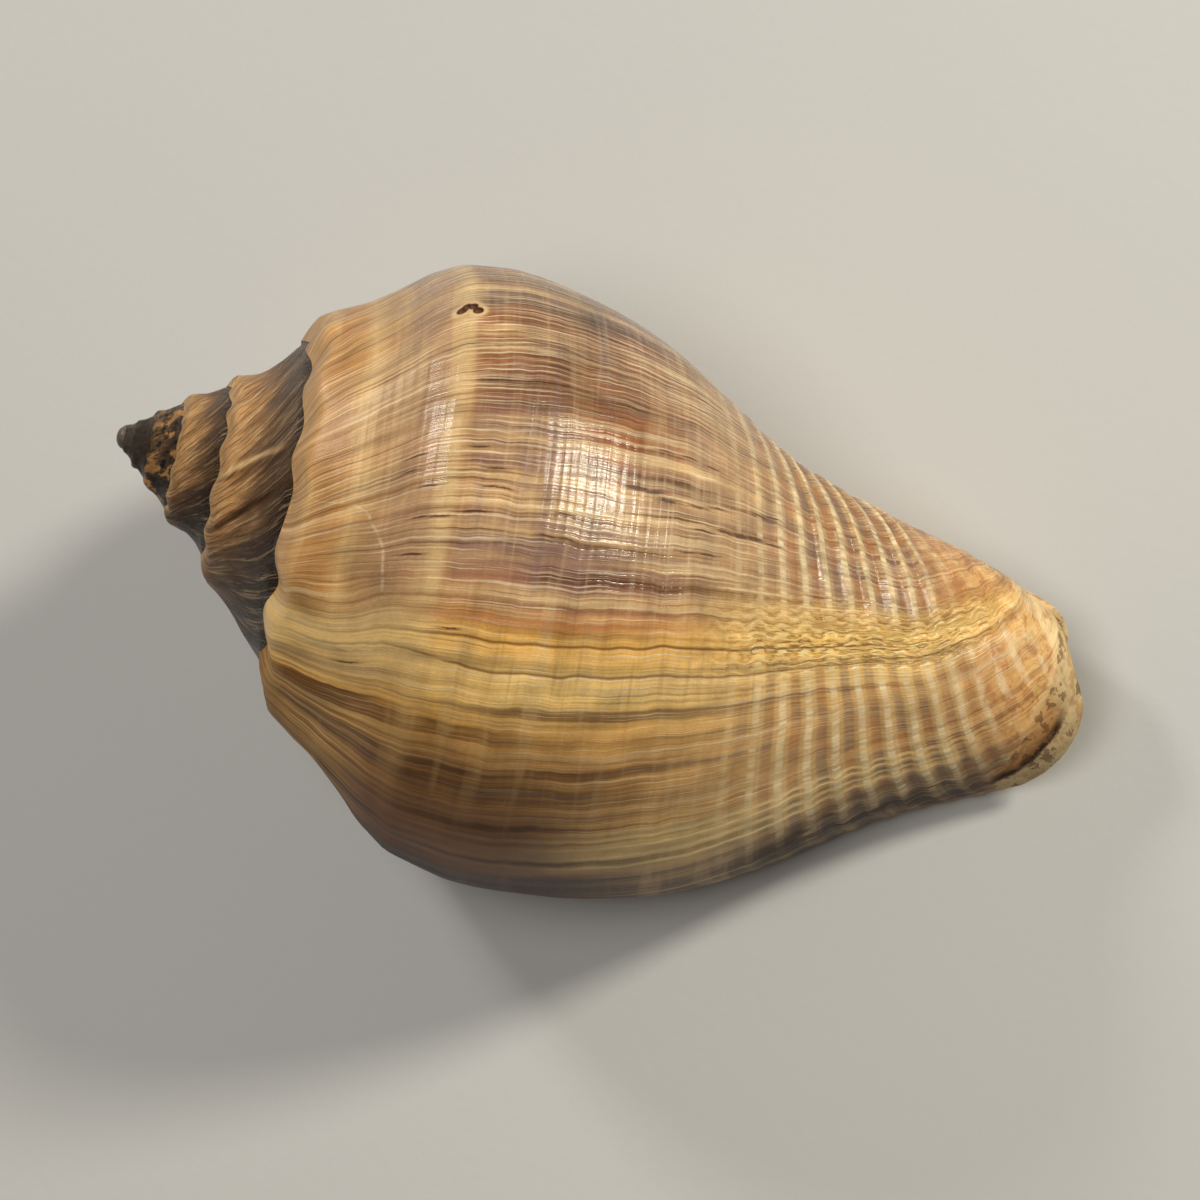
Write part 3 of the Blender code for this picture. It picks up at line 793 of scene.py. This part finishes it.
def outer_fields(g):
    """Fields that the markings share. A line has one growth angle, a spiral one station."""
    f = SimpleNamespace()
    f.turn, f.station = g.growth()
    wander = 0
    for texture, reach in LINE_WANDER:
        wander = wander + (g.noise(f.station, f.turn, texture) - 0.5) * reach
    f.line = f.turn + wander + g.curve(f.station, LINE_BEND)
    f.line = f.line - f.station.near(LAG_STATION, 6) * f.turn.step(0, LAG_RISE) * LAG
    f.spiral = f.station + (g.noise(f.station, f.turn, SPIRAL_WANDER) - 0.5)

    for name, texture in TEXTURES.items():
        setattr(f, name, g.noise(f.station, f.line, texture))
    f.ridge = g.wave(f.spiral - CORD_FIRST, CORD_PITCH)

    # the scar, with its crumpled golden edges near the canal
    f.on_scar = f.line.near(18, 11)
    f.after_scar = f.line.step(22, 30)
    f.golden = f.line.near(12, 15) * f.spiral.step(52, 66) * f.spiral.step(94, 84)
    f.edges = g.wave(f.line + f.ridge * 0.7 + (f.crumpled - 0.5) * 7, 2.6)
    f.broken = f.middle.step(0.34, 0.5) * f.spiral.step(17, 20) * f.spiral.step(84, 70)
    f.lower_line = f.line - f.station.step(25, 37) * 2.8

    # dark marks, stains that are partly painted shade near the lip, the flaked canal end, and the walls of
    # the worm hole, which are painted dark as shade
    marks = g.math("MINIMUM", g.nearest(f.line, f.station, NICKS, NICK_SIZE),
                   g.nearest(f.line, f.station, CRACKS, CRACK_SIZE))
    f.marks = marks + ((f.fine - 0.5) * 1.4 + (f.grain - 0.5) * 0.8)
    f.dark_marks = f.marks.step(1, 0.5)
    # stain: dark clouds near the lip, partly stain and partly painted shade at the lower edge
    f.stain = f.cloud.step(0.42, 0.6) * f.line.near(84, 20) * f.spiral.step(56, 66) * f.spiral.step(88, 80)
    f.at_edge = f.turn + (f.blotch - 0.5) * 6 - g.math("MAXIMUM", 87 - f.station, 0) * 2
    f.flaked = f.at_edge.step(79, 80.6) * f.spiral.step(79, 82) * f.station.step(99, 97)
    # hollow: the worm hole's walls, painted dark as shade
    f.hollow = f.station.step(130, 140)

    # the spire: how far across a whorl from suture to suture, and its slanting folds
    f.on_spire = f.line.step(-160, -226) * f.station.step(34, 28)
    f.across = (f.station - SUTURE_STATION) * (1 / (NEXT_SUTURE_STATION - SUTURE_STATION))
    slant = f.turn + f.across * 26
    f.fold = g.noise(f.across, slant, FOLD)
    f.stripe = g.noise(f.across, slant, STRIPE)
    return f


def paint_clouds(g, f, coat):
    """Mauve and rust clouds, then broad pale and dark streaks."""
    coat.lay(f.patch.step(0.47, 0.62) * 0.6 * f.line.step(12, 4), (130, 98, 94))
    coat.lay(f.patch.step(0.47, 0.34) * 0.62 * f.line.step(8, -10), (186, 106, 54))
    coat.lay(f.broad.step(0.51, 0.66) * 0.65, (218, 178, 124))
    coat.lay(f.broad.step(0.49, 0.34) * (0.72 - 0.6 * f.on_scar), (86, 52, 32))


def paint_bands(g, f, coat):
    """The shoulder and the wider spiral bands below it."""
    share = f.spiral.step(32.4, 31.2) * (0.8 - 0.72 * f.after_scar - 0.6 * f.on_scar)
    share = share * f.line.step(96, 70) * (0.5 + 0.8 * f.middle)
    coat.lay(share, g.ramp(f.spiral, 16, 34, SHOULDER_STOPS))
    share = f.spiral.near(30.3, 1.3) * (0.16 + 0.16 * f.after_scar) * f.line.step(76, 60)
    coat.lay(share, (228, 196, 142))
    tint = g.noise(f.spiral, f.line, BANDS)
    before = f.line.step(10, 2) * f.spiral.step(30, 34)
    coat.lay(tint.step(0.47, 0.36) * 0.45 * before, (140, 112, 106))
    coat.lay(tint.step(0.54, 0.64) * (0.34 - 0.18 * before), (222, 184, 126))
    coat.lay(f.spiral.step(48, 62) * 0.45 * f.line.step(84, 68), (212, 174, 118))


def paint_streaks(g, f, coat):
    """Folds below the suture after the scar, then growth streaks and fine spiral threads."""
    folded = f.spiral.near(22, 10) * f.after_scar
    fold_tone = f.broad * 0.55 + f.middle * 0.45
    coat.lay(folded * fold_tone.step(0.5, 0.6) * 0.85, (250, 216, 146))
    coat.lay(folded * fold_tone.step(0.48, 0.38) * 0.3, (96, 58, 26))
    calm = f.after_scar * f.spiral.step(24, 31)
    streaked = 1 - 0.6 * f.line.near(20, 11) - 0.5 * calm - 0.38 * f.line.near(11, 10)
    streaked = streaked - 0.4 * f.spiral.step(31, 27) * f.line.step(10, 2)
    coat.lay(f.middle.step(0.53, 0.7) * (0.6 - 0.25 * calm), (234, 208, 164))
    coat.lay(f.middle.step(0.47, 0.31) * 0.7 * streaked, (84, 48, 26))
    coat.lay(f.fine.step(0.54, 0.7) * (0.62 - 0.26 * calm), (244, 222, 182))
    coat.lay(f.fine.step(0.45, 0.28) * 0.56 * streaked, (78, 44, 24))
    in_middle = f.spiral.step(30, 36)
    coat.lay(f.along.step(0.5, 0.74) * (0.24 - 0.1 * f.after_scar) * in_middle, (232, 208, 168))
    coat.lay(f.along.step(0.5, 0.26) * (0.26 - 0.14 * f.after_scar) * in_middle, (112, 76, 54))


def paint_pale_threads(g, f, coat):
    drift = (f.patch - 0.5) * 9 + (f.middle - 0.5) * 1.2
    thread = g.wave(f.line + drift, 1.45).step(0, 0.95) * f.line.near(-47, 18)
    thread = thread * f.spiral.step(27, 33) * f.spiral.step(66, 54) * f.fine.step(0.36, 0.6)
    coat.lay(thread * 0.8, (236, 214, 178))


def paint_canal(g, f, coat):
    """Pale spiral cords with rust or mauve between; their crests are beaded pale, partly as painted glints.
    """
    on_canal = f.spiral.step(55, 67) * f.spiral.step(88, 80) * f.line.step(-150, -90)
    on_canal = on_canal * (1 - 0.7 * f.line.near(10, 14)) * (0.6 + 0.8 * f.middle.step(0.6, 0.35))
    between = Coat(g, (168, 106, 60))
    between.lay(g.noise(f.spiral, f.line, RUST).step(0.4, 0.6), (124, 96, 86))
    between.lay(f.line.step(70, 82) * 0.8, (48, 32, 20))
    coat.lay(f.ridge.step(0.1, -0.8) * on_canal * (0.62 - 0.05 * f.after_scar), between.colour)
    # beads on the cord crests: partly pale beads, partly painted glints
    beads_and_glints = g.noise(f.spiral, f.line, BEADS_AND_GLINTS).step(0.35, 0.62) * 0.6 + 0.3
    crest = g.mix(f.line.step(70, 90), (242, 220, 176), (160, 126, 80))
    coat.lay(f.ridge.step(0.35, 0.97) * on_canal * beads_and_glints, crest)


def paint_canal_end(g, f, coat):
    peach = Coat(g, g.ramp(f.spiral, 78, 98, CANAL_END_STOPS))
    peach.lay(f.blotch.step(0.5, 0.38) * 0.65, (174, 100, 50))
    peach.lay(f.blotch.step(0.54, 0.66) * 0.65, (248, 218, 164))
    peach.lay(f.broad.step(0.48, 0.34) * 0.45, (164, 96, 50))
    peach.lay(f.middle.step(0.48, 0.3) * 0.6, (146, 84, 44))
    peach.lay(f.middle.step(0.54, 0.7) * 0.5, (250, 226, 180))
    faint_cord = f.ridge.step(0.1, 0.9) * f.line.near(40, 34) * f.blotch.step(0.4, 0.55)
    peach.lay(faint_cord * 0.5, (244, 220, 182))
    coat.lay(f.spiral.step(77, 87) * 0.85, peach.colour)


def paint_scar(g, f, coat):
    """Crimson, golden with crumpled edges painted dark in their grooves and pale on their raised sides as
    painted shade and light, then thin dark and pale lines.
    """
    crimson = f.line.near(10.6, 2.2) * f.spiral.step(27, 31) * f.spiral.step(60, 46)
    coat.lay(crimson * 0.55, (140, 66, 50))
    coat.lay(f.golden * 0.75, (246, 198, 108))
    # painted shade in the grooves of the crumpled lamellae, then painted light on their raised sides
    coat.lay(f.golden * f.edges.step(0.3, 0.95) * f.middle.step(0.62, 0.4) * 0.85, (116, 68, 32))
    coat.lay(f.golden * f.edges.step(-0.3, -0.95) * f.crumpled.step(0.4, 0.6) * 0.8, (252, 232, 174))
    for at, width, strength in SCAR_LINES:
        coat.lay(f.line.near(at, width) * strength * f.broken, (112, 64, 28))
    coat.lay(f.lower_line.near(LATE_SCAR_LINE, 0.55) * 0.75 * f.broken, (118, 70, 30))
    on_body = f.spiral.step(26, 36) * f.spiral.step(84, 70)
    for at, width in PALE_LINES:
        coat.lay(f.line.near(at, width) * 0.8 * on_body, (244, 216, 154))


def paint_tones(g, f, coat):
    """Darker towards the lip, a dark band that is partly painted shade at the lower edge; warm below the
    scar, with a pale layer there that is painted light on the side facing down; darker around the highlight
    as painted shade; and a thin pale healed arc.
    """
    # painted shade: darker towards the lower edge by the lip, partly the shell's own dark band
    low = f.line.step(26, 60) * f.station.step(54, 40) * (0.93 - 0.52 * f.station.near(21, 9))
    low = g.math("MAXIMUM", low, f.line.step(62, 72) * f.station.step(57, 45) * 0.98)
    coat.lay(low, (122, 80, 34), "MULTIPLY")
    warm = f.line.step(-6, 8) * 0.35 + f.line.step(22, 34) * 0.65
    coat.lay(warm * f.station.step(44, 26), (255, 243, 208), "MULTIPLY")
    # painted light: a pale golden layer on the side below the scar that faces down, away from the lamps
    coat.lay(f.line.near(15, 11) * f.spiral.step(34, 27) * 0.42, (255, 224, 156))
    # painted shade: darker around the highlight on the upper body
    coat.lay(f.line.near(-48, 42) * f.station.near(43, 12) * 0.75, (188, 180, 178), "MULTIPLY")
    arc = f.middle.step(0.34, 0.56) * (f.station - g.curve(f.turn, ARC)).near(0, 0.24)
    coat.lay(arc * f.turn.step(-19, -17) * f.turn.step(9.5, 7) * 0.55, (244, 218, 172))


def paint_marks(g, f, coat):
    """Dark nicks and a ragged crack, stains by the lip that are partly painted shade, and the flaked edge of
    the canal's end with a dark band that is partly painted shadow of the growth edge.
    """
    coat.lay(f.marks.step(1.9, 0.9) * 0.45, (128, 82, 52))
    coat.lay(f.dark_marks * 0.78, (62, 34, 18))
    # dark stain near the lip, partly painted shade
    coat.lay(f.stain * 0.85, (38, 24, 14))
    # the flaked colour, with a dark band that is partly painted shadow of the growth edge
    torn = Coat(g, g.ramp(f.turn + (f.grain - 0.5) * 3, 78, 108, TORN_STOPS))
    torn.lay(f.station.step(89, 91.5), (206, 178, 130))
    torn.lay(f.blotch.step(0.49, 0.4) * 0.5, (160, 112, 62))
    torn.lay(f.blotch.step(0.55, 0.6) * 0.65, (92, 58, 30))
    coat.lay(f.flaked, torn.colour)
    coat.lay(f.at_edge.near(77.6, 3.4) * f.spiral.step(84, 89) * 0.5, (240, 208, 154))
    coat.lay(f.at_edge.near(82.4, 2) * f.spiral.near(84, 4) * 0.45, (96, 60, 30))


def paint_spire(g, f, coat):
    """Tan above, dark and striped towards the next suture, dark and speckled at the tip; painted shade on one
    side of every whorl, a painted shadow line in a groove and painted light along a ridge.
    """
    # painted shade: every spire whorl is darker on its underside, at the same angle each turn
    underside_shade = g.wave(f.turn + 300, 360).step(0.55, 0.96) * f.turn.step(-235, -290)
    level = f.across + (f.fold - 0.5) * 0.8 + (f.stripe - 0.5) * 0.5 + underside_shade * 0.45
    spire = Coat(g, g.ramp(level, -0.2, 1.4, SPIRE_STOPS))
    spire.lay(f.stripe.step(0.49, 0.38) * 0.62, (54, 37, 24))
    spire.lay(f.stripe.step(0.53, 0.62) * (0.26 + 0.4 * level.step(0.8, 0.3)), (232, 196, 146))
    old = f.turn.step(-820, -1000)
    spire.lay(old * 0.75, (72, 56, 44))
    speck = g.noise(f.across, f.turn, SPECK)
    spire.lay(old * speck.step(0.53, 0.58), (196, 142, 80))
    spire.lay(old * speck.step(0.46, 0.4), (22, 18, 17))
    spire.lay(f.across.near(0.8, 0.3) * f.grain.step(0.64, 0.74) * 0.28, (196, 186, 170))
    crease = (f.fold - 0.5) * 14
    # painted shadow: a dark line along the groove near -308 degrees
    spire.lay((f.turn + f.station * 2.2 + crease).near(-308, 3) * 0.8, (84, 54, 32))
    # painted light: a pale line along the raised ridge near -368.5 degrees
    pale_crease = (f.turn + f.station * 0.55 + crease).near(-368.5, 2.4)
    spire.lay(pale_crease * f.across.step(0.95, 0.5) * 0.75, (232, 192, 138))
    spire.lay(f.station.near(SUTURE_STATION, 0.7) * 0.55 * (1 - old), (224, 184, 134))
    spire.lay(f.turn.step(-1240, -1340), g.mix(f.stripe, (36, 29, 24), (98, 82, 68)))
    spire.lay(f.turn.step(-1720, -1820), (100, 88, 76))
    coat.lay(f.on_spire, spire.colour)


def paint_edges(g, f, coat):
    """The lip's broken edge, the worm hole's worn rim, its inside and walls painted dark as shade, and the
    mottle over everything.
    """
    edge = g.mix(f.grain.step(0.4, 0.6), (214, 188, 144), (184, 150, 104))
    coat.lay(f.turn.step(LIP_DEGREES - 0.6, LIP_DEGREES + 0.4), edge)
    from_pit = g.nearest(f.turn, f.station, [place[:2] for place in PIT_PARTS], PIT_SIZE)
    coat.lay(from_pit.step(1.25, 0.75) * 0.8, (236, 200, 148))
    # painted shade: the inside of the worm hole and its walls are painted dark
    coat.lay(from_pit.step(0.62, 0.45), (84, 46, 22))
    coat.lay(f.hollow, (98, 58, 32))
    coat.lay(1, g.grey((0.8 + 0.4 * f.grain) * (0.5 + f.mottle)), "MULTIPLY")


def outer_roughness(f):
    rough = 0.14 + 0.11 * f.middle + 0.14 * f.grain.step(0.5, 0.8) + 0.06 * f.on_spire + 0.1 * f.golden
    rough = rough + 0.26 * f.after_scar * f.line.step(120, 100) + 0.12 * f.station.step(28, 24)
    rough = rough + 0.2 * f.turn.step(LIP_DEGREES - 1, LIP_DEGREES) + 0.35 * f.hollow
    return rough + 0.3 * f.dark_marks + 0.2 * f.stain + 0.25 * f.flaked


def outer_height(g, f):
    """Small relief: streaks, fine spiral striae, the scar's edges and the spire's stripes."""
    striae = g.wave(f.spiral + f.along * 1.1, 0.9) * f.spiral.step(18, 22) * f.spiral.step(66, 60)
    striae = striae * 0.048 * (1 - f.on_spire - 0.7 * f.line.step(8, 16))
    lines = f.line.near(SCAR_LINES[0][0], 0.9) + f.lower_line.near(LATE_SCAR_LINE, 0.9)
    height = f.middle * 0.36 + f.fine * 0.34 + f.broad * 0.4 + f.along * 0.12 + f.grain * 0.05
    return height + striae - f.golden * f.edges * 0.3 - 0.22 * lines * f.broken + f.on_spire * f.stripe * 3.2


def outer_material():
    """The shell's outside. Its markings follow growth lines and spirals."""
    g = Graph("shell_outside")
    f = outer_fields(g)
    coat = Coat(g, g.ramp(f.line, -260, 112, GROUND_STOPS))
    for paint in (paint_clouds, paint_bands, paint_streaks, paint_pale_threads, paint_canal, paint_canal_end,
                  paint_scar, paint_tones, paint_marks, paint_spire, paint_edges):
        paint(g, f, coat)
    return g.finish(coat.colour, outer_roughness(f), outer_height(g, f), OUTER_BUMP)


# ---- the inside and the floor
INNER_STOPS = (
    (-50, 232, 204, 160), (0, 226, 192, 146), (6, 214, 170, 120), (30, 226, 180, 128),
    (80, 216, 160, 108), (190, 170, 116, 76),
)
INNER_BROAD, INNER_LINES = (0.05, 0.05, 1, 3, 0.5), (0.03, 0.6, 2, 3, 0.6)
INNER_CLOUD = (0.16, 0.16, 3, 4, 0.6)
# on the floor: features per metre
FLOOR_CLOUD, FLOOR_GRAIN = (9, 9, 0, 3, 0.5), (700, 700, 0, 2, 0.5)


def inner_material():
    """The glazed inside of the mouth, cream going to apricot further in."""
    g = Graph("shell_inside")
    turn, station = g.growth()
    from_edge = LIP_DEGREES - turn
    broad = g.noise(station, turn, INNER_BROAD)
    line = g.noise(station, turn, INNER_LINES)
    cloud = g.noise(station, turn, INNER_CLOUD)
    coat = Coat(g, g.ramp(from_edge, -60, 200, INNER_STOPS))
    coat.lay(broad.step(0.45, 0.7) * 0.5, (240, 220, 186))
    coat.lay(line.step(0.46, 0.28) * 0.35, (186, 128, 84))
    coat.lay(cloud.step(0.56, 0.72) * 0.25, (196, 150, 112))
    margin = from_edge.near(3, 6) * station.step(105, 100) * cloud.step(0.35, 0.6)
    coat.lay(margin * 0.8, (116, 76, 48))
    height = broad * 1.2 + line * 0.8 + cloud * 0.35
    return g.finish(coat.colour, 0.22 + 0.14 * cloud + 0.2 * margin, height, INNER_BUMP)


def floor_material():
    g = Graph("floor")
    x, y = g.split(g.field("TexCoord", "Object", {}))
    soft = g.noise(x, y, FLOOR_CLOUD)
    colour = g.mix(soft, (200, 199, 197), (207, 206, 204))
    return g.finish(colour, 0.75 + 0.1 * soft, g.noise(x, y, FLOOR_GRAIN) * 0.3 + soft, FLOOR_BUMP)


# ---- the shell
outer = outer_material()
inner = inner_material()
shell = coiled_body("crown_conch_shell", outer)
subtract(shell, chamber("chamber", inner))
for pit_turn, pit_station, pit_reach in PIT_PARTS:
    subtract(shell, pit(outer, pit_turn, pit_station, pit_reach))
shell.data.transform(rest_matrix())
subtract(shell, ground(outer))
carry_growth(shell, GROUND_MARK)
shell.data.shade_smooth()
shell.data.set_sharp_from_angle(angle=math.radians(50))
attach(shell, "root")
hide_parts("shell")

# ---- stage, light, camera
VIEW_SLANT, VIEW_TILT = math.radians(15.4), math.radians(5.09)
VIEW_DISTANCE = 434.25
SENSOR, LENS = 36, 135
AIM = (46.0388, 15.826)  # mm from the apex of the coil, right and down in the view
FLOOR_SIZE = 3
LIGHTS_AIM = (0, 0, 0.022)
# direction as view right, up and back, then distance and size in metres, watts, colour, seen in the gloss
LIGHTS = {
    "key": ((0.57, 0.5, 0.65), 0.6, 0.1, 2.5, (1, 0.96, 0.82), True),
    "side": ((-0.64, 0.69, 0.34), 0.6, 0.12, 1, (1, 0.97, 0.92), True),
    "front": ((-0.35, 0.12, 1), 0.8, 0.45, 2.3, (1, 0.97, 0.91), False),
}
SKY_COLOUR, SKY_STRENGTH = (1, 0.98, 0.95, 1), 0.05


def view_axes():
    """Right, down and back of the camera, in the shell's own axes."""
    ca, sa = math.cos(VIEW_TILT), math.sin(VIEW_TILT)
    cf, sf = math.cos(VIEW_SLANT), math.sin(VIEW_SLANT)
    return Vector((cf * ca, sf, cf * sa)), Vector((sf * ca, -cf, sf * sa)), Vector((-sa, 0, ca))


def add_camera():
    right, down, back = view_axes()
    data = bpy.data.cameras.new("camera")
    data.sensor_width = SENSOR
    data.lens = LENS
    data.clip_start = 0.01
    data.clip_end = 10
    camera = linked_object("camera", data)
    own = Matrix((right, -down, back)).transposed().to_4x4()
    own.translation = (right * AIM[0] + down * AIM[1] + back * VIEW_DISTANCE) * MM
    camera.matrix_world = rest_matrix() @ own
    bpy.context.scene.camera = camera


def add_light(name, direction, distance, size, watts, colour, glossy):
    """Round area light that shines at the shell."""
    right, down, back = view_axes()
    towards = right * direction[0] - down * direction[1] + back * direction[2]
    towards = (rest_matrix().to_3x3() @ towards).normalized()
    data = bpy.data.lights.new(name, "AREA")
    data.shape = "DISK"
    data.size = size
    data.energy = watts
    data.color = colour
    light = linked_object(name, data)
    light.location = Vector(LIGHTS_AIM) + towards * distance
    light.rotation_euler = towards.to_track_quat("Z", "Y").to_euler()
    light.visible_glossy = glossy


def add_floor():
    bm = bmesh.new()
    bmesh.ops.create_grid(bm, x_segments=2, y_segments=2, size=FLOOR_SIZE)
    floor = linked_piece("floor", bm, bpy.data.meshes.new("floor"), floor_material())


def add_sky():
    world = bpy.data.worlds.new("world")
    bpy.context.scene.world = world
    world.use_nodes = True
    background = world.node_tree.nodes["Background"]
    background.inputs["Color"].default_value = SKY_COLOUR
    background.inputs["Strength"].default_value = SKY_STRENGTH


add_floor()
add_camera()
for light_name, settings in LIGHTS.items():
    add_light(light_name, *settings)
add_sky()
bpy.context.scene.view_settings.view_transform = "Standard"
